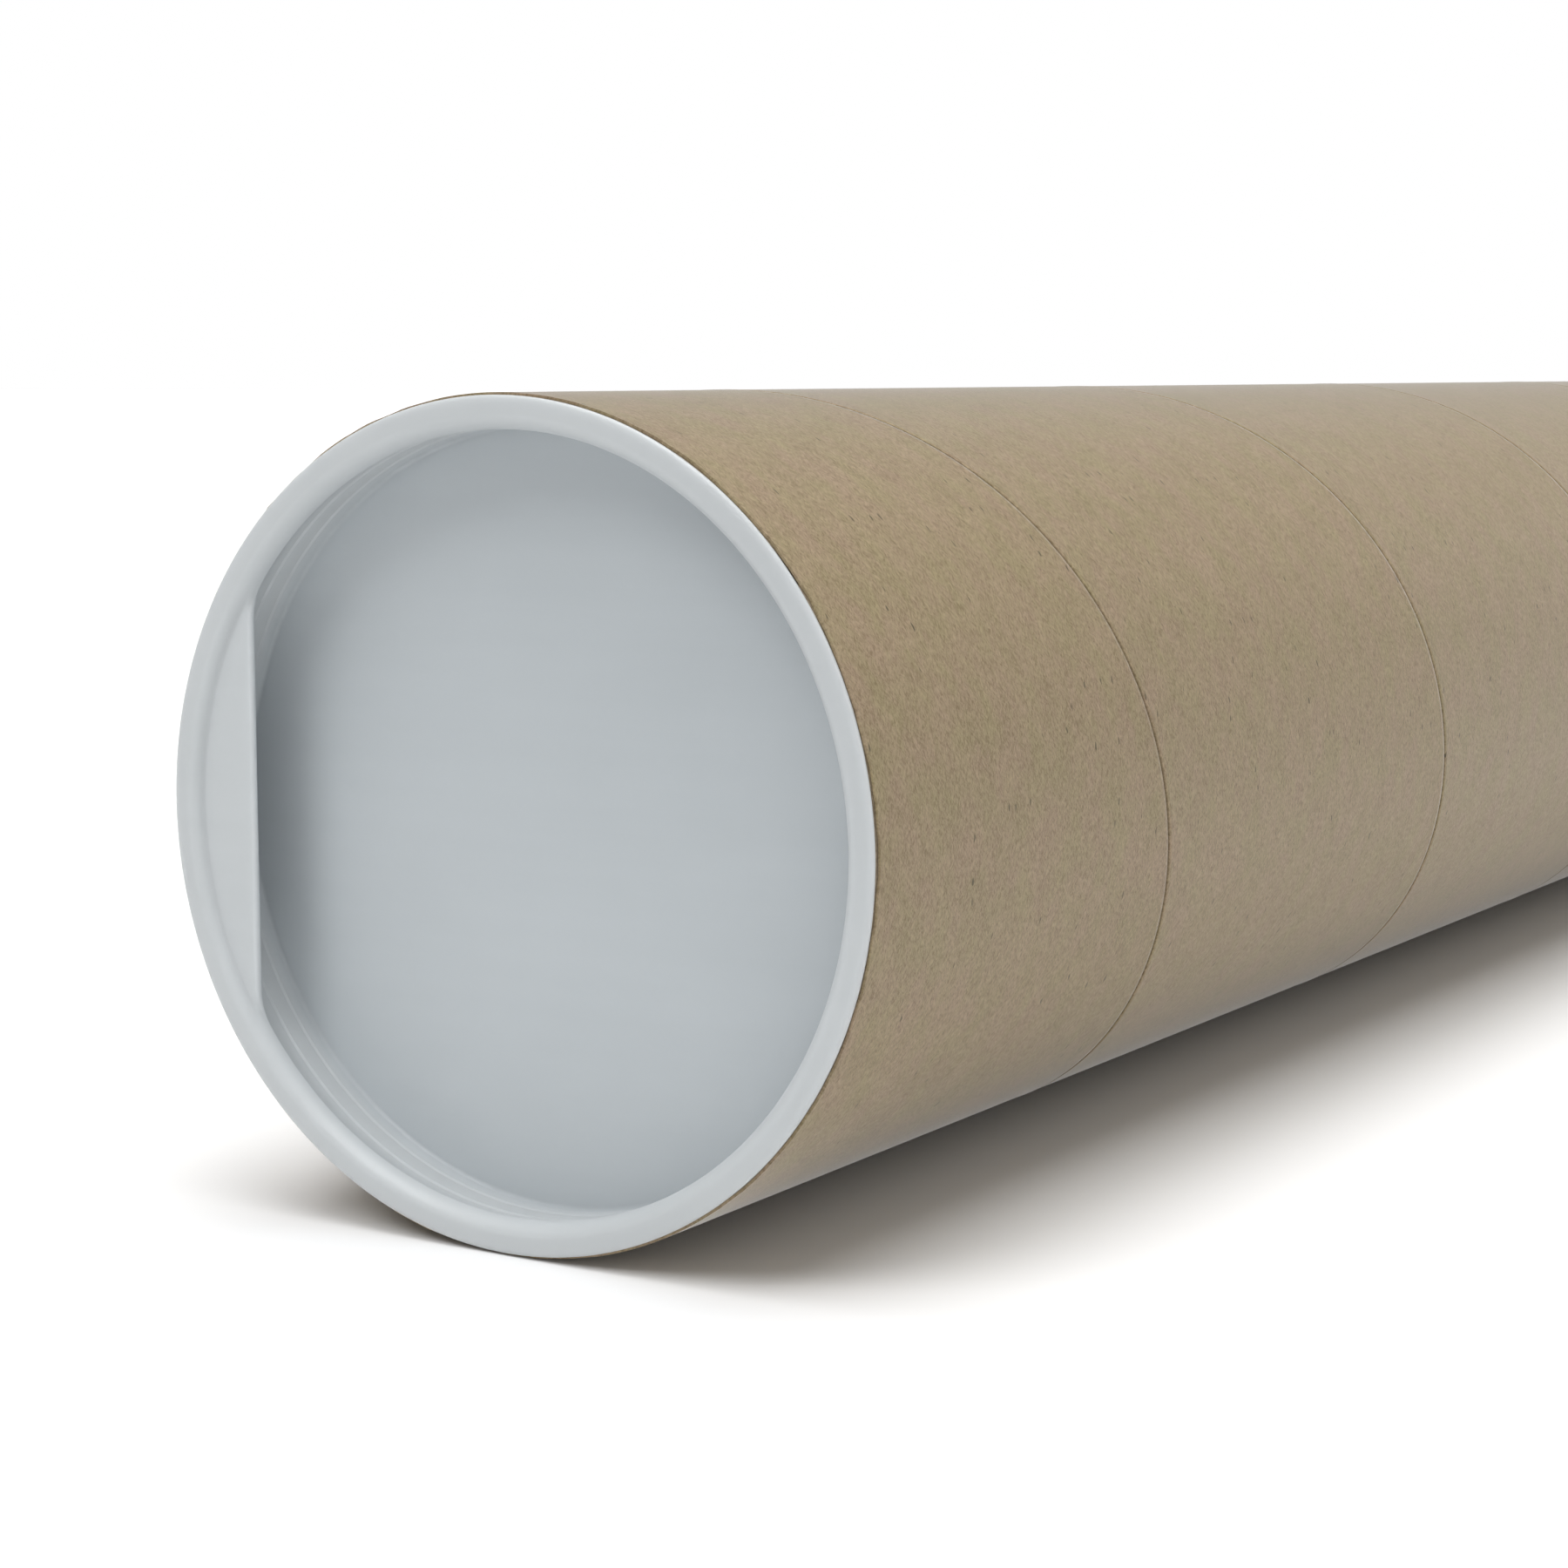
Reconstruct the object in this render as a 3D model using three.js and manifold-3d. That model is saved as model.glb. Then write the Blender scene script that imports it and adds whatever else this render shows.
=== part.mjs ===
// A drawing tube: a spiral-wound cardboard tube lying on its side, with a push-in plug cap in each end.
// Millimetres, +Z up. The tube's axis runs along Y at half the tube's height, and the front cap faces -Y.
import * as THREE from "three";
import { mergeVertices } from "three/addons/utils/BufferGeometryUtils.js";
import Module from "manifold-3d";

// The tube. Its wall is wound from six strips: kraft paper, four plies of board, and a kraft liner.
const TUBE_LENGTH = 640;
const TUBE_DIAMETER = 105;
const WALL_THICKNESS = 2.5;
const PAPER_THICKNESS = 0.35;
const BOARD_PLIES = 4;
const GLUE_GAP = 0.05;
const STRIP_PITCH = 101.1; // how far a strip gets along the tube in one turn
const BUTT_GAP = 0.35; // between neighbouring turns of one strip
const FIRST_SEAM = 74.4; // from the front end to the outer ply's seam, on the +X side
const SEAM_STAGGER = 38.5; // from one ply's seam to the next ply's

// Round surfaces are made of flat facets. The tube is its real diameter across them, and lies on one.
const FACETS = 32;
const FACET_ANGLE = (2 * Math.PI) / FACETS;
const FIRST_CORNER = FACET_ANGLE / 2;
const CORNER_REACH = 1 / Math.cos(FACET_ANGLE / 2);

// A plug cap, in its own frame: radii from its axis, and heights along Y from the end of the tube.
// Its rim is a rounded crown, which ends in a lip that overhangs the wall of the dish a little.
const RIM_RADIUS = 52.2;
const RIM_HEIGHT = 0.75;
const RIM_SEAT = 0.1; // between the rim's back and the tube's end
const RIM_EDGE = 0.15; // chamfer between the rim's back and its side
const OUTER_CROWN = { width: 1, height: 0.4 };
const INNER_CROWN = { width: 2.3, height: 2.2 };
const LIP_RADIUS = 48.1;
const LIP_UNDERCUT = 0.55;
const DISH_RADIUS = 48.75;
const DISH_DEPTH = 10;
const DISH_CORNER = 0.5;
const FLOOR_THICKNESS = 1.3;
const PLUG_RADIUS = 49.7;
const PLUG_TAPER = 0.02; // how fast the plug narrows with depth
const PLUG_LEAD_IN = 1.6;
const RING_RADIUS = 49.85; // of the two sealing rings round the plug
const RING_DEPTHS = [4.2, 7.2];
const RING_HALF_WIDTH = 0.7;
const LEDGE_DEPTHS = [4.5, 7.5]; // of the two ledges round the dish's wall, behind the sealing rings
const LEDGE_WIDTH = 0.2;
const LEDGE_SLOPE = 0.3;

// The pull tab bridges one side of the dish, just below the top of the rim.
const TAB_CHORD = 39.9; // from the cap's axis to the tab's straight edge
const TAB_ROOT_RADIUS = 49.3; // inside the rim
const TAB_TOP = -0.5;
const TAB_THICKNESS = 1.1;
const FRONT_TAB_ANGLE = 0; // degrees above the horizontal
const REAR_TAB_ANGLE = 90;

const TUBE_RADIUS = TUBE_DIAMETER / 2;
const PLIES = BOARD_PLIES + 2;
const BOARD_THICKNESS =
  (WALL_THICKNESS - 2 * PAPER_THICKNESS - (PLIES - 1) * GLUE_GAP) / BOARD_PLIES;

const wasm = await Module();
wasm.setup();

const kraftPaper = new THREE.MeshStandardMaterial({ color: 0xb0a083, roughness: 0.8 });
const coreBoard = new THREE.MeshStandardMaterial({ color: 0x9a8a6e, roughness: 0.9 });
const linerPaper = new THREE.MeshStandardMaterial({ color: 0xa89678, roughness: 0.85 });
const capPlastic = new THREE.MeshStandardMaterial({ color: 0xc0c7cc, roughness: 0.45 });

// A closed three.js geometry as a manifold-3d solid.
function solidOf(geometry) {
  const bare = geometry.clone();
  bare.deleteAttribute("normal");
  bare.deleteAttribute("uv");
  const merged = mergeVertices(bare, 1e-4);
  return new wasm.Manifold(
    new wasm.Mesh({
      numProp: 3,
      vertProperties: merged.attributes.position.array,
      triVerts: new Uint32Array(merged.index.array),
    }),
  );
}

// A manifold-3d solid as a three.js geometry.
function geometryOf(solid) {
  const mesh = solid.getMesh();
  const geometry = new THREE.BufferGeometry();
  geometry.setAttribute("position", new THREE.BufferAttribute(mesh.vertProperties, mesh.numProp));
  geometry.setIndex(new THREE.BufferAttribute(mesh.triVerts, 1));
  return geometry;
}

// The point where a wall of this radius is at a turn, counted in facets from the first corner, and at
// distance y along the tube. Between two corners it moves straight along the flat.
function onWall(radius, turn, y) {
  const corner = (index) => {
    const angle = FIRST_CORNER + index * FACET_ANGLE;
    const reach = radius * CORNER_REACH;
    return new THREE.Vector3(reach * Math.cos(angle), y, reach * Math.sin(angle));
  };
  const index = Math.floor(turn);
  return corner(index).lerp(corner(index + 1), turn - index);
}

// One ply: a long flat strip wound as a right-handed helix, and sawn off square at both ends of the
// tube. Its turns meet at a seam, which crosses the +X side at the distance seam from the front end.
function woundStrip(outerRadius, innerRadius, seam) {
  const perFacet = STRIP_PITCH / FACETS;
  const sideTurn = -FIRST_CORNER / FACET_ANGLE;
  const strip = { near: seam + BUTT_GAP / 2, far: seam + STRIP_PITCH - BUTT_GAP / 2 };
  const edgeAt = (start, turn) => start - perFacet * (turn - sideTurn);
  const turnAt = (start, y) => sideTurn + (start - y) / perFacet;

  // The strip starts as a point on the far end of the tube and ends as a point on the front end.
  const start = turnAt(strip.near, TUBE_LENGTH);
  const end = turnAt(strip.far, 0);
  const turns = [start, turnAt(strip.far, TUBE_LENGTH), turnAt(strip.near, 0), end];
  for (let corner = Math.ceil(start); corner < end; corner++) turns.push(corner);
  turns.sort((a, b) => a - b);

  // Across the strip at each turn: outside near and far, then inside far and near.
  const sections = turns.map((turn) => {
    const near = Math.max(edgeAt(strip.near, turn), 0);
    const far = Math.min(edgeAt(strip.far, turn), TUBE_LENGTH);
    return [
      onWall(outerRadius, turn, near),
      onWall(outerRadius, turn, far),
      onWall(innerRadius, turn, far),
      onWall(innerRadius, turn, near),
    ];
  });

  const corners = [];
  const addTriangle = (a, b, c) => {
    if (a.distanceTo(b) > 1e-3 && b.distanceTo(c) > 1e-3 && c.distanceTo(a) > 1e-3) {
      corners.push(a, b, c);
    }
  };
  for (let i = 1; i < sections.length; i++) {
    for (let side = 0; side < 4; side++) {
      const next = (side + 1) % 4;
      addTriangle(sections[i - 1][side], sections[i][next], sections[i][side]);
      addTriangle(sections[i - 1][side], sections[i - 1][next], sections[i][next]);
    }
  }
  return new THREE.BufferGeometry().setFromPoints(corners);
}

// The cap without its tab: half of its section, from the floor's underside round to the floor's top.
function capSection() {
  const plugAt = (depth) => PLUG_RADIUS - PLUG_TAPER * depth;
  const underside = DISH_DEPTH + FLOOR_THICKNESS;
  const section = new THREE.Path();
  section.moveTo(0, -underside);
  section.lineTo(plugAt(underside) - PLUG_LEAD_IN, -underside);
  section.lineTo(plugAt(DISH_DEPTH), -DISH_DEPTH);
  for (const depth of [...RING_DEPTHS].reverse()) {
    const [below, above] = [depth + RING_HALF_WIDTH, depth - RING_HALF_WIDTH];
    section.lineTo(plugAt(below), -below);
    section.lineTo(RING_RADIUS, -depth);
    section.lineTo(plugAt(above), -above);
  }
  section.lineTo(PLUG_RADIUS, RIM_SEAT);
  section.lineTo(RIM_RADIUS - RIM_EDGE, RIM_SEAT);
  section.lineTo(RIM_RADIUS, RIM_SEAT + RIM_EDGE);

  const outer = { x: RIM_RADIUS - OUTER_CROWN.width, y: RIM_HEIGHT - OUTER_CROWN.height };
  const inner = { x: LIP_RADIUS + INNER_CROWN.width, y: RIM_HEIGHT - INNER_CROWN.height };
  section.absellipse(outer.x, outer.y, OUTER_CROWN.width, OUTER_CROWN.height, 0, Math.PI / 2);
  section.absellipse(inner.x, inner.y, INNER_CROWN.width, INNER_CROWN.height, Math.PI / 2, Math.PI);

  const wall = DISH_RADIUS;
  section.lineTo(wall, inner.y - LIP_UNDERCUT);
  for (const depth of LEDGE_DEPTHS) {
    section.lineTo(wall + LEDGE_WIDTH, -depth);
    section.lineTo(wall, -depth - LEDGE_SLOPE);
  }
  section.lineTo(wall, DISH_CORNER - DISH_DEPTH);
  section.lineTo(wall - DISH_CORNER, -DISH_DEPTH);
  section.lineTo(0, -DISH_DEPTH);
  return section.getPoints(2).map((p) => new THREE.Vector2(p.x * CORNER_REACH, p.y));
}

// The pull tab: a flat plate the shape of a circle's segment, with its round side inside the rim.
function pullTab(angle) {
  const half = Math.acos(TAB_CHORD / TAB_ROOT_RADIUS);
  const outline = new THREE.Shape();
  outline.absarc(0, 0, TAB_ROOT_RADIUS, -half, half);
  const plate = new THREE.ExtrudeGeometry(outline, {
    depth: TAB_THICKNESS,
    bevelEnabled: false,
    curveSegments: 8,
  });
  plate.rotateX(-Math.PI / 2);
  plate.rotateY(-angle);
  plate.translate(0, TAB_TOP - TAB_THICKNESS, 0);
  return plate;
}

function plugCap(tabAngle) {
  const dish = new THREE.LatheGeometry(capSection(), FACETS, FIRST_CORNER);
  return geometryOf(solidOf(dish).add(solidOf(pullTab(THREE.MathUtils.degToRad(tabAngle)))));
}

function addPiece(group, name, geometry, material) {
  const piece = new THREE.Mesh(geometry, material);
  piece.name = name;
  group.add(piece);
}

// The tube's wall, from the outside in, along Y from the front end.
function tubeWall() {
  const wall = new THREE.Group();
  let outerRadius = TUBE_RADIUS;
  let seam = FIRST_SEAM;
  const addPly = (name, thickness, material) => {
    const innerRadius = outerRadius - thickness;
    addPiece(wall, name, woundStrip(outerRadius, innerRadius, seam), material);
    outerRadius = innerRadius - GLUE_GAP;
    seam += SEAM_STAGGER;
  };
  addPly("outer_ply", PAPER_THICKNESS, kraftPaper);
  for (let ply = 1; ply <= BOARD_PLIES; ply++) addPly(`core_ply_${ply}`, BOARD_THICKNESS, coreBoard);
  addPly("liner_ply", PAPER_THICKNESS, linerPaper);
  return wall;
}

const drawingTube = new THREE.Group();

const wall = tubeWall();
wall.position.set(0, -TUBE_LENGTH / 2, TUBE_RADIUS);
drawingTube.add(wall);

// Each cap's own Y points out of the tube, so the front one is turned half round.
const frontEnd = new THREE.Group();
addPiece(frontEnd, "front_cap", plugCap(FRONT_TAB_ANGLE), capPlastic);
frontEnd.position.set(0, -TUBE_LENGTH / 2, TUBE_RADIUS);
frontEnd.rotation.z = Math.PI;
drawingTube.add(frontEnd);

const rearEnd = new THREE.Group();
addPiece(rearEnd, "rear_cap", plugCap(REAR_TAB_ANGLE), capPlastic);
rearEnd.position.set(0, TUBE_LENGTH / 2, TUBE_RADIUS);
drawingTube.add(rearEnd);

export default drawingTube;
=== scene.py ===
"""A cardboard drawing tube with plug caps: the looks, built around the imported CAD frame. Metres, +Z up."""

import math

import bmesh
import bpy
import numpy as np
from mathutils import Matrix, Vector


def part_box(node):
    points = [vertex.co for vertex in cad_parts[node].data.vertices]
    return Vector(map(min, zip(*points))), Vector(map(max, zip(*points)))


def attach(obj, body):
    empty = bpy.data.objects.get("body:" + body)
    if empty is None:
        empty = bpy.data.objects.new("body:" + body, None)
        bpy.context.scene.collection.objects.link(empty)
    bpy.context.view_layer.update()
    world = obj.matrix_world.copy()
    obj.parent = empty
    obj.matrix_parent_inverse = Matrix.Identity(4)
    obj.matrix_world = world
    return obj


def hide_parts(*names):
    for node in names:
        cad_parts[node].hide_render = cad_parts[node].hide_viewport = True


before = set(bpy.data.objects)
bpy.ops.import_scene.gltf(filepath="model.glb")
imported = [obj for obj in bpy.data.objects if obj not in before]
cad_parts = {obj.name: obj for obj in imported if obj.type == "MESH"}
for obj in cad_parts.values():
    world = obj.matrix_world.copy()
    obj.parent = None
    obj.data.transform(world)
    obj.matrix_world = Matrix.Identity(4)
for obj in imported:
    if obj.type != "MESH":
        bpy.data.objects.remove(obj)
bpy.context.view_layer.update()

MM = 0.001
SAME_PLACE = 0.001 * MM

# The tube, as it lies in the frame.
ply_low, ply_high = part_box("outer_ply")
TUBE_RADIUS = (ply_high.x - ply_low.x) / 2
TUBE_LENGTH = ply_high.y - ply_low.y
AXIS_HEIGHT = (ply_high.z + ply_low.z) / 2
FRONT_END = ply_low.y
REAR_END = ply_high.y

# How its strips are wound, from the outer ply inwards, as in the CAD model.
STRIP_PITCH = 101.1 * MM
FIRST_SEAM = 74.4 * MM
SEAM_STAGGER = 38.5 * MM
WALL_THICKNESS = 2.5 * MM
PAPER_THICKNESS = 0.35 * MM
BOARD_PLIES = 4
GLUE_GAP = 0.05 * MM
BOARD_THICKNESS = (WALL_THICKNESS - 2 * PAPER_THICKNESS - (BOARD_PLIES + 1) * GLUE_GAP) / BOARD_PLIES

# How the strips' edges and sawn ends look, which the CAD model only has roughly. The skin is the outer ply.
BUTT_GAP = 0.6 * MM
TIP_WIDTH = 1.2 * MM
CURL_WIDTH = 2.5 * MM
SKIN_CURL = 0.05 * MM
SKIN_EDGE = 0.12 * MM
SKIN_FRAY = 0.18 * MM
INNER_EDGE = 0.06 * MM
INNER_FRAY = 0.06 * MM
FRAY_REACH = 2 * MM
FACETS_ROUND = 240

# A plug cap: radii from its axis, heights along it from the end of the tube, in millimetres.
RIM_RADIUS = 52.2
RIM_HEIGHT = 0.75
RIM_SEAT = 0.1
OUTER_CROWN = (1.0, 0.4)
INNER_CROWN = (1.9, 2.2)
LIP_RADIUS = 48.1
LIP_TUCK = (0.3, 0.5)
LIP_DEPTH = 0.85
DISH_RADIUS = 48.75
DISH_DEPTH = 10.0
FLOOR_THICKNESS = 1.3
PLUG_RADIUS = 49.7
PLUG_TAPER = 0.02
PLUG_LEAD_IN = 1.6
RING_RADIUS = 49.85
RING_DEPTHS = (4.2, 7.2)
RING_HALF_WIDTH = 0.7
LEDGE_DEPTHS = (4.5, 7.5)
LEDGE_WIDTH = 0.14
LEDGE_SLOPE = 0.4
TAB_CHORD = 39.9
TAB_TOP = -0.5
TAB_THICKNESS = 1.1
TAB_FLARE = 6.5
TAB_ROOT = 0.1  # how far behind the lip the flare's circle touches the rim
TAB_JOINT = 145.0  # where the tab leaves the rim, as an angle on the inner crown's ellipse
TAB_BLEND = 1.9
FRONT_TAB_ANGLE = 0.0
REAR_TAB_ANGLE = 90.0
UNDERSIDE_RINGS = (0, 20, 40)
FLOOR_RINGS = (44, 32, 16, 0)
CAP_SEGMENTS = 320
FILLET_STEPS = 5

# What shows on the paper and board: length, width and depth in the strip in millimetres, turns in degrees.
FIBRE_SIZE = (0.75, 0.24, 1)
FIBRE_TURNS = (-25, 14, 50)
FIBRE_SHIFT = 7
GRAIN_SIZE = (0.2, 0.14, 0.2)
CLOUD_SIZE = (7, 5, 5)
PATCH_SIZE = (9, 6.5, 6)
PATCH_TURN = 15
DASH_SIZE = (2.6, 0.85, 3)
DASH_TURN = 17
DASH_SHARE = 0.05
CHIP_SIZE = (1.9, 1.2, 3)
CHIP_TURN = -20
CHIP_SHIFT = 3
CHIP_SHARE = 0.03
WANDER_SIZE = (1.6, 1.6, 1)
WANDER = 0.8

# The same for the plastic, along X, Y and Z.
HAZE_SIZE = (30, 30, 30)
SATIN_SIZE = (0.5, 0.5, 0.5)
FLOW_SIZE = (40, 40, 3)

WHITE = (1.0, 1.0, 1.0)
BLACK = (0.0, 0.0, 0.0)

# Where the light comes from.
FRONT_RIGHT = (0.6, -0.8, 0.0)
SOFT_BOX = (0.72, -0.54, 0.43)
KEY_LIGHT = (-0.16, -0.63, 0.76)
TOP_LIGHT = (0.0, 0.0, 1.0)

# The camera: where it looks, and where the middle of the tube's front end lies in its view, in tube radii.
VIEW_AZIMUTH = 32.1
VIEW_ELEVATION = 7.3
END_TO_RIGHT = -0.6451
END_BELOW = 0.1074
END_AHEAD = 7.4432
LENS = 74.44
SENSOR = 36.0


def add_camera():
    """A camera at the front right of the tube, a little above it, that looks back along it."""
    azimuth = math.radians(VIEW_AZIMUTH)
    elevation = math.radians(VIEW_ELEVATION)
    back = Vector(
        (
            math.sin(azimuth) * math.cos(elevation),
            -math.cos(azimuth) * math.cos(elevation),
            math.sin(elevation),
        )
    )
    right = Vector((math.cos(azimuth), math.sin(azimuth), 0))
    up = back.cross(right)
    end_middle = Vector((0, FRONT_END, AXIS_HEIGHT))
    to_end = right * END_TO_RIGHT - up * END_BELOW - back * END_AHEAD
    data = bpy.data.cameras.new("camera")
    data.lens = LENS
    data.sensor_width = SENSOR
    data.clip_start = 0.01
    camera = bpy.data.objects.new("camera", data)
    camera.location = end_middle - to_end * TUBE_RADIUS
    camera.rotation_euler = back.to_track_quat("Z", "Y").to_euler()
    bpy.context.scene.collection.objects.link(camera)
    bpy.context.scene.camera = camera


# Shader nodes


class Nodes:
    """Short ways to add nodes to a node tree."""

    def __init__(self, tree):
        self.tree = tree

    def add(self, kind, inputs=None, **settings):
        node = self.tree.nodes.new("ShaderNode" + kind)
        for name, value in settings.items():
            setattr(node, name, value)
        for key, value in (inputs or {}).items():
            self.put(value, node.inputs[key])
        return node

    def put(self, value, socket):
        if isinstance(value, bpy.types.NodeSocket):
            self.tree.links.new(value, socket)
        else:
            socket.default_value = value

    def math(self, operation, *values):
        node = self.add("Math", dict(enumerate(values)), operation=operation)
        return node.outputs[0]

    def fade(self, value, start, end, first, last, kind="SMOOTHSTEP"):
        """The first number up to the start, the last one from the end on, and a blend in between."""
        inputs = {"Value": value, "From Min": start, "From Max": end, "To Min": first, "To Max": last}
        return self.add("MapRange", inputs, interpolation_type=kind).outputs[0]

    def facing(self, direction, toward):
        """How far a direction agrees with another one, from -1 to 1."""
        return self.add("VectorMath", {0: direction, 1: toward}, operation="DOT_PRODUCT").outputs["Value"]

    def swing(self, value, reach):
        """A value from 0 to 1 as one from -reach / 2 to reach / 2."""
        return self.math("MULTIPLY_ADD", value, reach, -reach / 2)

    def stretched(self, point, size, turned=0.0, shift=0.0):
        """The point in units of this size, along axes turned by so many degrees about the third one.
        Noise of scale 1 has features of that size there. Size and shift are in millimetres."""
        node = self.add("Mapping", {"Vector": point}, vector_type="TEXTURE")
        node.inputs["Location"].default_value = (shift * MM, shift * MM, 0)
        node.inputs["Rotation"].default_value = (0, 0, math.radians(turned))
        node.inputs["Scale"].default_value = [length * MM for length in size]
        return node.outputs[0]

    def noise(self, point, detail=2.0, roughness=0.5):
        node = self.add("TexNoise", {"Vector": point, "Scale": 1.0, "Detail": detail, "Roughness": roughness})
        return node.outputs["Fac"]

    def flecks(self, point, share):
        """1 in the middle of some cells, for this share of the cells, and 0 elsewhere."""
        reach = 0.16
        softness = 0.08
        cells = self.add("TexVoronoi", {"Vector": point, "Scale": 1.0, "Randomness": 1.0})
        number = self.add("SeparateColor", {"Color": cells.outputs["Color"]}).outputs[0]
        picked = self.math("LESS_THAN", number, share)
        near = self.fade(cells.outputs["Distance"], reach, reach + softness, 1.0, 0.0, "LINEAR")
        return self.math("MULTIPLY", picked, near)

    def ramp(self, value, *stops):
        """A colour for the value, from stops of (place, colour)."""
        node = self.add("ValToRGB", {"Fac": value})
        stops_in = node.color_ramp.elements
        while len(stops_in) < len(stops):
            stops_in.new(0.5)
        for element, (place, colour) in zip(stops_in, stops):
            element.position = place
            element.color = (*colour, 1.0)
        return node.outputs["Color"]

    def mix(self, share, first, second, blend="MIX"):
        """Two colours mixed, with this share of the second one."""
        node = self.add("Mix", data_type="RGBA", blend_type=blend)
        for socket, value in ((node.inputs[0], share), (node.inputs[6], first), (node.inputs[7], second)):
            self.put((*value, 1.0) if isinstance(value, tuple) else value, socket)
        return node.outputs[2]

    def bump(self, height, distance, strength, normal=None):
        node = self.add("Bump", {"Height": height, "Distance": distance, "Strength": strength})
        if normal is not None:
            self.put(normal, node.inputs["Normal"])
        return node.outputs[0]


class Shader(Nodes):
    """A material with a Principled BSDF."""

    def __init__(self, name):
        self.material = bpy.data.materials.new(name)
        self.material.use_nodes = True
        super().__init__(self.material.node_tree)
        self.surface = self.tree.nodes["Principled BSDF"]

    def set(self, **values):
        for name, value in values.items():
            self.surface.inputs[name.replace("_", " ")].default_value = value


def crooked(shader, flat):
    """The places on a strip moved to and fro a little, so that what is drawn there isn't straight."""
    wander = shader.add("TexNoise", {"Vector": shader.stretched(flat, WANDER_SIZE), "Scale": 1.0})
    bend = shader.add("VectorMath", {0: wander.outputs["Color"], 1: (0.5, 0.5, 0.5)}, operation="SUBTRACT")
    bend = shader.add("VectorMath", {0: bend.outputs[0], "Scale": WANDER * MM}, operation="SCALE")
    return shader.add("VectorMath", {0: flat, 1: bend.outputs[0]}, operation="ADD").outputs[0]


def matted_fibres(shader, bent):
    """Layers of short fibres that cross each other, light and dark about 0.5."""
    tone = 0.5
    for number, turned in enumerate(FIBRE_TURNS):
        layer = shader.stretched(bent, FIBRE_SIZE, turned, number * FIBRE_SHIFT)
        tone = shader.math("ADD", tone, shader.swing(shader.noise(layer, 1.0), 1.0))
    return tone


def specked(shader, bent, painted, dark, pale):
    """The painted paper with a few dark dashes and faint pale chips in it."""
    dashes = shader.flecks(shader.stretched(bent, DASH_SIZE, DASH_TURN), DASH_SHARE)
    chips = shader.flecks(shader.stretched(bent, CHIP_SIZE, CHIP_TURN, CHIP_SHIFT), CHIP_SHARE)
    painted = shader.mix(shader.math("MULTIPLY", dashes, 0.85), painted, dark)
    return shader.mix(shader.math("MULTIPLY", chips, 0.35), painted, pale)


def paper_material(name, olive, rosy, depth, roughness):
    """Kraft paper or board: matted fibres, patches of two tints and a few specks.
    The tints are those of its lightest fibres, and depth says how much darker the others are.
    Places are those on the strip before it is wound: along it, across it and up through it."""
    shader = Shader(name)
    flat = shader.add("Attribute", attribute_name="strip").outputs["Vector"]
    bent = crooked(shader, flat)
    fibres = matted_fibres(shader, bent)
    grain = shader.noise(shader.stretched(flat, GRAIN_SIZE), 1.0)
    clouds = shader.noise(shader.stretched(flat, CLOUD_SIZE), 3.0, 0.6)
    patches = shader.noise(shader.stretched(bent, PATCH_SIZE, PATCH_TURN), 4.0, 0.7)

    tone = shader.math("ADD", fibres, shader.swing(grain, 0.5))
    tone = shader.math("ADD", tone, shader.swing(clouds, 0.4))
    darkest = (1 - depth, 1 - 1.08 * depth, 1 - 1.2 * depth)
    middle = (1 - 0.48 * depth, 1 - 0.5 * depth, 1 - 0.53 * depth)
    shade = shader.ramp(tone, (0.05, darkest), (0.5, middle), (0.95, WHITE))
    tint = shader.mix(shader.ramp(patches, (0.37, BLACK), (0.63, WHITE)), olive, rosy)
    painted = shader.mix(1.0, tint, shade, "MULTIPLY")
    dark = tuple(0.22 * part for part in olive)
    pale = tuple(1.15 * part for part in rosy)
    shader.put(specked(shader, bent, painted, dark, pale), shader.surface.inputs["Base Color"])

    dull = shader.math("ADD", roughness, shader.swing(grain, -0.2))
    shader.put(dull, shader.surface.inputs["Roughness"])
    height = shader.math("ADD", shader.math("MULTIPLY", fibres, 0.6), shader.math("MULTIPLY", grain, 0.4))
    shader.put(shader.bump(height, 0.03 * MM, 0.6), shader.surface.inputs["Normal"])
    shader.set(Specular_IOR_Level=0.3, Sheen_Weight=0.8, Sheen_Roughness=0.25)
    return shader.material


def plastic_material():
    """Slightly cloudy, pale grey polyethylene with a satin skin. Deep in the dish the colour is painted
    darker
    and bluer than the rest: painted shade for the recess."""
    shader = Shader("cap_plastic")
    place = shader.add("TexCoord").outputs["Object"]
    haze = shader.noise(shader.stretched(place, HAZE_SIZE))
    satin = shader.noise(shader.stretched(place, SATIN_SIZE), 2.0, 0.6)
    flow = shader.noise(shader.stretched(place, FLOW_SIZE))

    tone = shader.math("ADD", shader.math("MULTIPLY", haze, 0.7), shader.math("MULTIPLY", flow, 0.3))
    colour = shader.ramp(tone, (0.3, (0.448, 0.47, 0.481)), (0.7, (0.474, 0.496, 0.507)))
    # Painted shade: the colour turns darker and bluer towards the bottom of the dish, by depth alone.
    from_middle = shader.math("ABSOLUTE", shader.add("SeparateXYZ", {"Vector": place}).outputs["Y"])
    sunk = shader.math("SUBTRACT", REAR_END, from_middle)
    sunk_share = shader.math("DIVIDE", sunk, DISH_DEPTH * MM)
    dish_painted_shade = shader.ramp(sunk_share, (0.75, WHITE), (0.98, (0.934, 0.957, 0.976)))
    shader.put(shader.mix(1.0, colour, dish_painted_shade, "MULTIPLY"), shader.surface.inputs["Base Color"])

    shader.put(shader.math("MULTIPLY_ADD", satin, 0.12, 0.38), shader.surface.inputs["Roughness"])
    normal = shader.bump(satin, 0.012 * MM, 0.5)
    shader.put(shader.bump(haze, 0.4 * MM, 0.35, normal), shader.surface.inputs["Normal"])
    shader.set(
        Specular_IOR_Level=0.5,
        IOR=1.51,
        Subsurface_Weight=0.8,
        Subsurface_Radius=(1.0, 1.0, 1.0),
        Subsurface_Scale=2.0 * MM,
    )
    return shader.material


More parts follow.
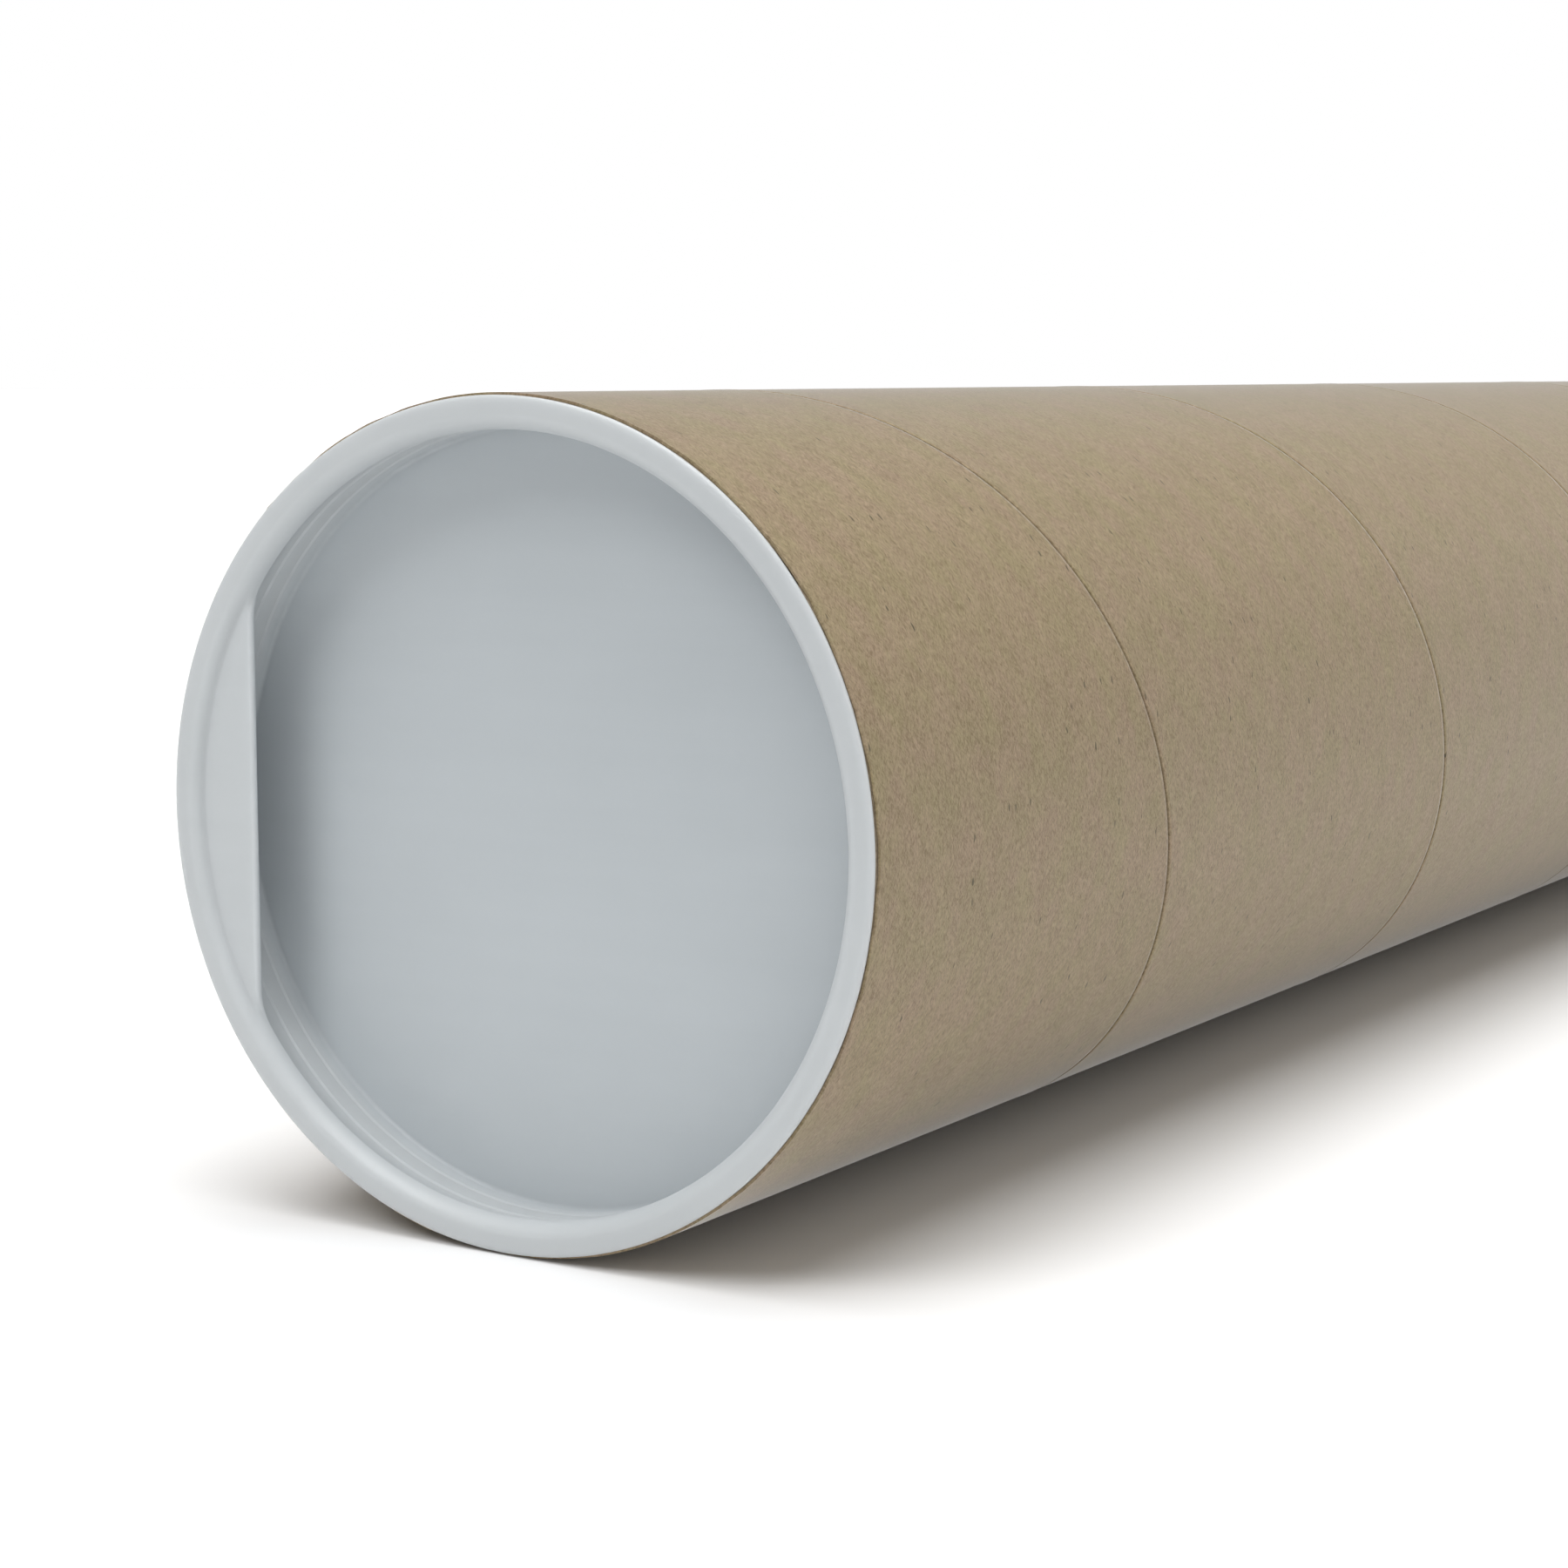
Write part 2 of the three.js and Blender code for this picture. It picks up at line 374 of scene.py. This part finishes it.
# Meshes


def new_object(name, mesh, material):
    """A mesh as a piece of this material, in the scene."""
    mesh.materials.append(material)
    piece = bpy.data.objects.new(name, mesh)
    bpy.context.scene.collection.objects.link(piece)
    return piece


def strip_section(thickness, curl, edge):
    """Across a strip from its near edge to its far one: points of (side, offset, height) in metres.
    Side 0 is its near edge and 1 its far one, offset is from there, and height is from the inner face.
    The edges are rounded, and curl up a little where the glue let go."""
    top = [
        (0.0, curl - edge),
        (0.4 * edge, curl - 0.3 * edge),
        (edge, curl),
        (0.32 * CURL_WIDTH, 0.55 * curl),
        (CURL_WIDTH, 0.0),
    ]
    section = [(0, offset, thickness + rise) for offset, rise in top]
    section += [(1, -offset, thickness + rise) for offset, rise in reversed(top)]
    section += [(1, 0.0, 0.0), (0, 0.0, 0.0)]
    return section


def wound_strip(name, outer_radius, thickness, seam, material, curl, edge, fray, seed):
    """One ply: a long strip wound as a right-handed helix and sawn off at both ends of the tube.
    Where the saw leaves less than the tip's width of it, it has torn off."""
    random = np.random.default_rng(seed)
    around = 2 * math.pi * outer_radius
    slant = math.atan2(STRIP_PITCH, around)
    near_at_side = seam + BUTT_GAP / 2
    far_at_side = seam + STRIP_PITCH - BUTT_GAP / 2
    first = (near_at_side + TIP_WIDTH - TUBE_LENGTH) / STRIP_PITCH
    last = (far_at_side - TIP_WIDTH) / STRIP_PITCH
    step = 1 / FACETS_ROUND
    turns = np.arange(math.floor(first / step), math.ceil(last / step) + 1) * step
    turns = np.unique(np.clip(turns, first, last))
    section = strip_section(thickness, curl, edge)
    inner_radius = outer_radius - thickness

    # The sawn ends aren't quite true: each is a rough line all round.
    orders = np.arange(2, 90)
    falloff = 0.6
    waves = random.normal(size=(2, len(orders))) / orders**falloff
    phases = random.uniform(0, 2 * math.pi, size=(2, len(orders)))

    def rough_line(end, angle):
        return fray * (1 + np.dot(waves[end], np.sin(orders * angle + phases[end])))

    vertices = []
    strip_at = []
    for turn in turns:
        angle = 2 * math.pi * turn
        near = near_at_side - STRIP_PITCH * turn
        far = far_at_side - STRIP_PITCH * turn
        low = max(0.0, rough_line(0, angle)) if near < FRAY_REACH else 0.0
        high = TUBE_LENGTH - (max(0.0, rough_line(1, angle)) if far > TUBE_LENGTH - FRAY_REACH else 0.0)
        for side, offset, height in section:
            y = (far if side else near) + offset
            if not low < y < high:  # sawn off here, square to the ply's faces
                y = min(max(y, low), high)
                height = thickness if height else 0.0
            radius = inner_radius + height
            vertices.append((radius * math.cos(angle), FRONT_END + y, AXIS_HEIGHT + radius * math.sin(angle)))
            strip_at.append(
                (
                    turn * around / math.cos(slant) - (y - near) * math.sin(slant),
                    (y - near) * math.cos(slant),
                    height,
                )
            )
    count = len(section)
    faces = []
    for i in range(len(turns) - 1):
        for j in range(count):
            k = (j + 1) % count
            faces.append((i * count + j, i * count + k, (i + 1) * count + k, (i + 1) * count + j))
    faces.append(tuple(range(count - 1, -1, -1)))
    faces.append(tuple((len(turns) - 1) * count + j for j in range(count)))
    mesh = bpy.data.meshes.new(name)
    mesh.from_pydata(vertices, [], faces)
    attribute = mesh.attributes.new("strip", "FLOAT_VECTOR", "POINT")
    attribute.data.foreach_set("vector", np.array(strip_at).ravel())
    tidy_mesh(mesh)
    return new_object(name, mesh, material)


def tidy_mesh(mesh, sharp_above=35.0):
    """Merges what lies on itself, drops empty faces, turns all faces out and smooths the round ones."""
    work = bmesh.new()
    work.from_mesh(mesh)
    bmesh.ops.remove_doubles(work, verts=work.verts, dist=SAME_PLACE)
    bmesh.ops.dissolve_degenerate(work, edges=work.edges, dist=SAME_PLACE)
    bmesh.ops.recalc_face_normals(work, faces=work.faces)
    for face in work.faces:
        face.smooth = True
    work.to_mesh(mesh)
    work.free()
    mesh.set_sharp_from_angle(angle=math.radians(sharp_above))


def rounded(outline):
    """An open outline of (radius, height, fillet) corners as points, with an arc at each fillet."""
    points = [Vector(outline[0][:2])]
    for before, corner, after in zip(outline, outline[1:], outline[2:]):
        here = Vector(corner[:2])
        fillet = corner[2]
        if not fillet:
            points.append(here)
            continue
        to_before = (Vector(before[:2]) - here).normalized()
        to_after = (Vector(after[:2]) - here).normalized()
        half = to_before.angle(to_after) / 2
        reach = fillet / math.tan(half)
        centre = here + (to_before + to_after).normalized() * fillet / math.sin(half)
        start = here + to_before * reach - centre
        end = here + to_after * reach - centre
        sweep = math.atan2(start.cross(end), start.dot(end))
        for step in range(FILLET_STEPS + 1):
            turn = sweep * step / FILLET_STEPS
            turned = Vector(
                (
                    start.x * math.cos(turn) - start.y * math.sin(turn),
                    start.x * math.sin(turn) + start.y * math.cos(turn),
                )
            )
            points.append(centre + turned)
    points.append(Vector(outline[-1][:2]))
    return points


def ellipse_points(centre, reach, start, end, steps):
    """Points on part of an ellipse in (radius, height), both ends included. Angles in degrees."""
    points = []
    for step in range(steps + 1):
        angle = math.radians(start + (end - start) * step / steps)
        radius = centre[0] + reach[0] * math.cos(angle)
        height = centre[1] + reach[1] * math.sin(angle)
        points.append(Vector((radius, height)))
    return points


def straight_points(start, end, steps):
    """Evenly spaced points from start to end, both included."""
    return [Vector(start).lerp(Vector(end), step / steps) for step in range(steps + 1)]


CROWN_MIDDLE = (LIP_RADIUS + INNER_CROWN[0], RIM_HEIGHT - INNER_CROWN[1])
WALL_TOP = (DISH_RADIUS, CROWN_MIDDLE[1] - LIP_DEPTH)


def plug_section():
    """From the middle of the floor's underside, up the plug and over the rim, to where a tab could start."""

    def plug_at(depth):
        return PLUG_RADIUS - PLUG_TAPER * depth

    underside = DISH_DEPTH + FLOOR_THICKNESS
    outline = [(radius, -underside, 0) for radius in UNDERSIDE_RINGS]
    outline += [
        (plug_at(underside) - PLUG_LEAD_IN, -underside, 0.6),
        (plug_at(DISH_DEPTH), -DISH_DEPTH, 0.8),
    ]
    for depth in reversed(RING_DEPTHS):
        outline += [
            (plug_at(depth + RING_HALF_WIDTH), -depth - RING_HALF_WIDTH, 0.1),
            (RING_RADIUS, -depth, 0.2),
            (plug_at(depth - RING_HALF_WIDTH), -depth + RING_HALF_WIDTH, 0.1),
        ]
    outline += [
        (PLUG_RADIUS, RIM_SEAT, 0.2),
        (RIM_RADIUS, RIM_SEAT, 0.12),
        (RIM_RADIUS, RIM_HEIGHT - OUTER_CROWN[1], 0),
    ]
    side = rounded(outline)[:-1]
    outer_middle = (RIM_RADIUS - OUTER_CROWN[0], RIM_HEIGHT - OUTER_CROWN[1])
    outer = ellipse_points(outer_middle, OUTER_CROWN, 0, 90, 8)
    inner = ellipse_points(CROWN_MIDDLE, INNER_CROWN, 90, TAB_JOINT, 9)
    return side + outer + inner


def lip_section():
    """From where a tab could start, round the lip of the rim, to the top of the dish's wall."""
    crown = ellipse_points(CROWN_MIDDLE, INNER_CROWN, TAB_JOINT, 180, 16)
    tuck = ellipse_points((LIP_RADIUS + LIP_TUCK[0], CROWN_MIDDLE[1]), LIP_TUCK, 180, 270, 10)
    under = straight_points(tuck[-1], WALL_TOP, 10)
    return crown[1:] + tuck[1:] + under[1:]


def tab_section(edge):
    """The same in as many points, where the pull tab is in the way and has its edge at this radius."""
    half = TAB_THICKNESS / 2
    joint = math.radians(TAB_JOINT)
    start = Vector(
        (
            CROWN_MIDDLE[0] + INNER_CROWN[0] * math.cos(joint),
            CROWN_MIDDLE[1] + INNER_CROWN[1] * math.sin(joint),
        )
    )
    along = Vector((INNER_CROWN[0] * math.sin(joint), -INNER_CROWN[1] * math.cos(joint)))
    to_flat = (start.y - TAB_TOP) / along.y
    corner = Vector((start.x - along.x * to_flat, TAB_TOP))
    reach = (start - corner).length
    flat_start = Vector((corner.x - reach, TAB_TOP))
    valley_steps = 8
    valley = []
    for step in range(1, valley_steps + 1):
        share = step / valley_steps
        valley.append(start.lerp(corner, share).lerp(corner.lerp(flat_start, share), share))
    flat = straight_points(flat_start, (edge + half, TAB_TOP), 8)
    round_edge = ellipse_points((edge + half, TAB_TOP - half), (half, half), 90, 270, 10)
    # The underside meets the wall in a small round corner.
    underside = TAB_TOP - TAB_THICKNESS
    under = straight_points(round_edge[-1], (DISH_RADIUS - 0.3, underside), 5)
    under += straight_points((DISH_RADIUS - 0.08, underside - 0.1), WALL_TOP, 4)
    return valley + flat[1:] + round_edge[1:] + under[1:]


def wall_section():
    """From the top of the dish's wall down its ledges and over the floor to its middle."""
    outline = [(*WALL_TOP, 0)]
    for depth in LEDGE_DEPTHS:
        outline += [
            (DISH_RADIUS + LEDGE_WIDTH, -depth, 0.25),
            (DISH_RADIUS, -depth - LEDGE_SLOPE, 0.25),
        ]
    outline.append((DISH_RADIUS, -DISH_DEPTH, 0.6))
    outline += [(radius, -DISH_DEPTH, 0) for radius in FLOOR_RINGS]
    return rounded(outline)[1:]


def tab_reach(angle):
    """How far from the axis the tab's edge is at this angle from its middle, and None past its ends.
    The chord flares out into the rim at both ends."""
    angle = abs(math.remainder(angle, 2 * math.pi))
    root = LIP_RADIUS + TAB_ROOT
    centre_x = TAB_CHORD - TAB_FLARE
    centre_z = math.sqrt((root - TAB_FLARE) ** 2 - centre_x**2)
    if angle < math.atan2(centre_z, TAB_CHORD):
        return TAB_CHORD / math.cos(angle)
    if angle > math.atan2(centre_z, centre_x):
        return None
    middle = centre_x * math.cos(angle) + centre_z * math.sin(angle)
    across = centre_z * math.cos(angle) - centre_x * math.sin(angle)
    return min(middle + math.sqrt(TAB_FLARE**2 - across**2), LIP_RADIUS)


def rim_section(angle):
    """The lip or the tab, or near the tab's ends something between the two."""
    lip = lip_section()
    edge = tab_reach(angle)
    if edge is None or edge >= LIP_RADIUS:
        return lip
    out = LIP_RADIUS - edge
    share = math.sin(math.pi / 2 * min(out / TAB_BLEND, 1))
    tab = tab_section(LIP_RADIUS - out / share)
    return [first.lerp(second, share) for first, second in zip(lip, tab)]


def plug_cap(name, tab_angle, end, outward, material):
    """A whole cap in place. outward is -1 for the cap that faces -Y, and 1 for the other."""
    plug = plug_section()
    wall = wall_section()
    work = bmesh.new()

    def vertex(radius, height, angle):
        return work.verts.new(
            (
                outward * radius * MM * math.cos(angle),
                end + outward * height * MM,
                AXIS_HEIGHT + radius * MM * math.sin(angle),
            )
        )

    under_middle = vertex(0, plug[0].y, 0)
    floor_middle = vertex(0, wall[-1].y, 0)
    columns = []
    for step in range(CAP_SEGMENTS):
        angle = 2 * math.pi * step / CAP_SEGMENTS
        section = plug[1:] + rim_section(angle - math.radians(tab_angle)) + wall[:-1]
        columns.append([vertex(point.x, point.y, angle) for point in section])
    for step in range(CAP_SEGMENTS):
        here = columns[step]
        after = columns[(step + 1) % CAP_SEGMENTS]
        work.faces.new((under_middle, here[0], after[0]))
        work.faces.new((floor_middle, after[-1], here[-1]))
        for i in range(len(here) - 1):
            work.faces.new((here[i], here[i + 1], after[i + 1], after[i]))
    mesh = bpy.data.meshes.new(name + "_moulding")
    work.to_mesh(mesh)
    work.free()
    tidy_mesh(mesh, sharp_above=60.0)
    return new_object(name + "_moulding", mesh, material)


# The object


def build_wall():
    """The six wound strips, from the outer ply to the liner."""
    kraft = paper_material("kraft_paper", (0.322, 0.263, 0.151), (0.346, 0.26, 0.172), 0.42, 0.6)
    board = paper_material("core_board", (0.26, 0.213, 0.142), (0.268, 0.213, 0.15), 0.5, 0.8)
    liner = paper_material("liner_paper", (0.327, 0.258, 0.155), (0.344, 0.267, 0.18), 0.42, 0.7)
    plies = [("outer_ply", PAPER_THICKNESS, kraft, "kraft_paper")]
    plies += [(f"core_ply_{n + 1}", BOARD_THICKNESS, board, "core_board") for n in range(BOARD_PLIES)]
    plies.append(("liner_ply", PAPER_THICKNESS, liner, "liner_paper"))
    radius = TUBE_RADIUS
    for number, (node, thickness, material, slot) in enumerate(plies):
        skin = node == "outer_ply"
        strip = wound_strip(
            node + "_strip",
            radius,
            thickness,
            FIRST_SEAM + number * SEAM_STAGGER,
            material,
            curl=SKIN_CURL if skin else 0.0,
            edge=SKIN_EDGE if skin else INNER_EDGE,
            fray=SKIN_FRAY if skin else INNER_FRAY,
            seed=number,
        )
        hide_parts(node)
        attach(strip, "tube")
        radius -= thickness + GLUE_GAP


def build_caps():
    """The two plug caps, which are the same moulding."""
    plastic = plastic_material()
    for node, tab_angle, end, outward in (
        ("front_cap", FRONT_TAB_ANGLE, FRONT_END, -1),
        ("rear_cap", REAR_TAB_ANGLE, REAR_END, 1),
    ):
        cap = plug_cap(node, tab_angle, end, outward, plastic)
        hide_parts(node)
        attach(cap, node)


# The studio


def add_floor():
    """A plain white floor."""
    shader = Shader("floor_paint")
    place = shader.add("TexCoord").outputs["Object"]
    haze = shader.noise(shader.stretched(place, (1000, 1000, 1000)))
    colour = shader.ramp(haze, (0.3, (0.8, 0.8, 0.8)), (0.7, (0.82, 0.82, 0.82)))
    shader.put(colour, shader.surface.inputs["Base Color"])
    shader.set(Roughness=0.9, Specular_IOR_Level=0.1)
    mesh = bpy.data.meshes.new("floor")
    reach = 12.0
    corners = [(-reach, -reach, 0), (reach, -reach, 0), (reach, reach, 0), (-reach, reach, 0)]
    mesh.from_pydata(corners, [], [(0, 1, 2, 3)])
    floor = new_object("floor", mesh, shader.material)


def add_sun(name, toward, strength, softness):
    """Light from a far source in this direction, which looks so many degrees across."""
    data = bpy.data.lights.new(name, "SUN")
    data.energy = strength
    data.angle = math.radians(softness)
    light = bpy.data.objects.new(name, data)
    light.rotation_euler = Vector(toward).to_track_quat("Z", "Y").to_euler()
    bpy.context.scene.collection.objects.link(light)


def add_world():
    """A white studio that is brightest low down at the front right, where a big soft box stands too.
    Behind the object the camera sees plain white."""
    world = bpy.data.worlds.new("studio")
    world.use_nodes = True
    nodes = Nodes(world.node_tree)
    toward = nodes.add("TexCoord").outputs["Generated"]
    height = nodes.add("SeparateXYZ", {"Vector": toward}).outputs["Z"]
    low_down = nodes.fade(height, 0.12, 0.25, 1.0, 0.2)
    in_front = nodes.math("MULTIPLY_ADD", nodes.facing(toward, FRONT_RIGHT), 0.6, 0.5)
    soft_box = nodes.fade(nodes.facing(toward, SOFT_BOX), 0.6, 0.95, 0.0, 0.65)
    light = nodes.math("MULTIPLY_ADD", low_down, in_front, soft_box)
    seen = nodes.add("LightPath").outputs["Is Camera Ray"]
    background = nodes.tree.nodes["Background"]
    nodes.put(nodes.math("MAXIMUM", light, seen), background.inputs["Strength"])
    background.inputs["Color"].default_value = (*WHITE, 1.0)
    bpy.context.scene.world = world
    bpy.context.scene.view_settings.view_transform = "Standard"


def add_lights():
    """A soft key light from the front and a wide one from straight above."""
    add_sun("key", KEY_LIGHT, 1.15, 28)
    add_sun("top", TOP_LIGHT, 3.05, 55)


add_camera()
build_wall()
build_caps()
add_floor()
add_lights()
add_world()
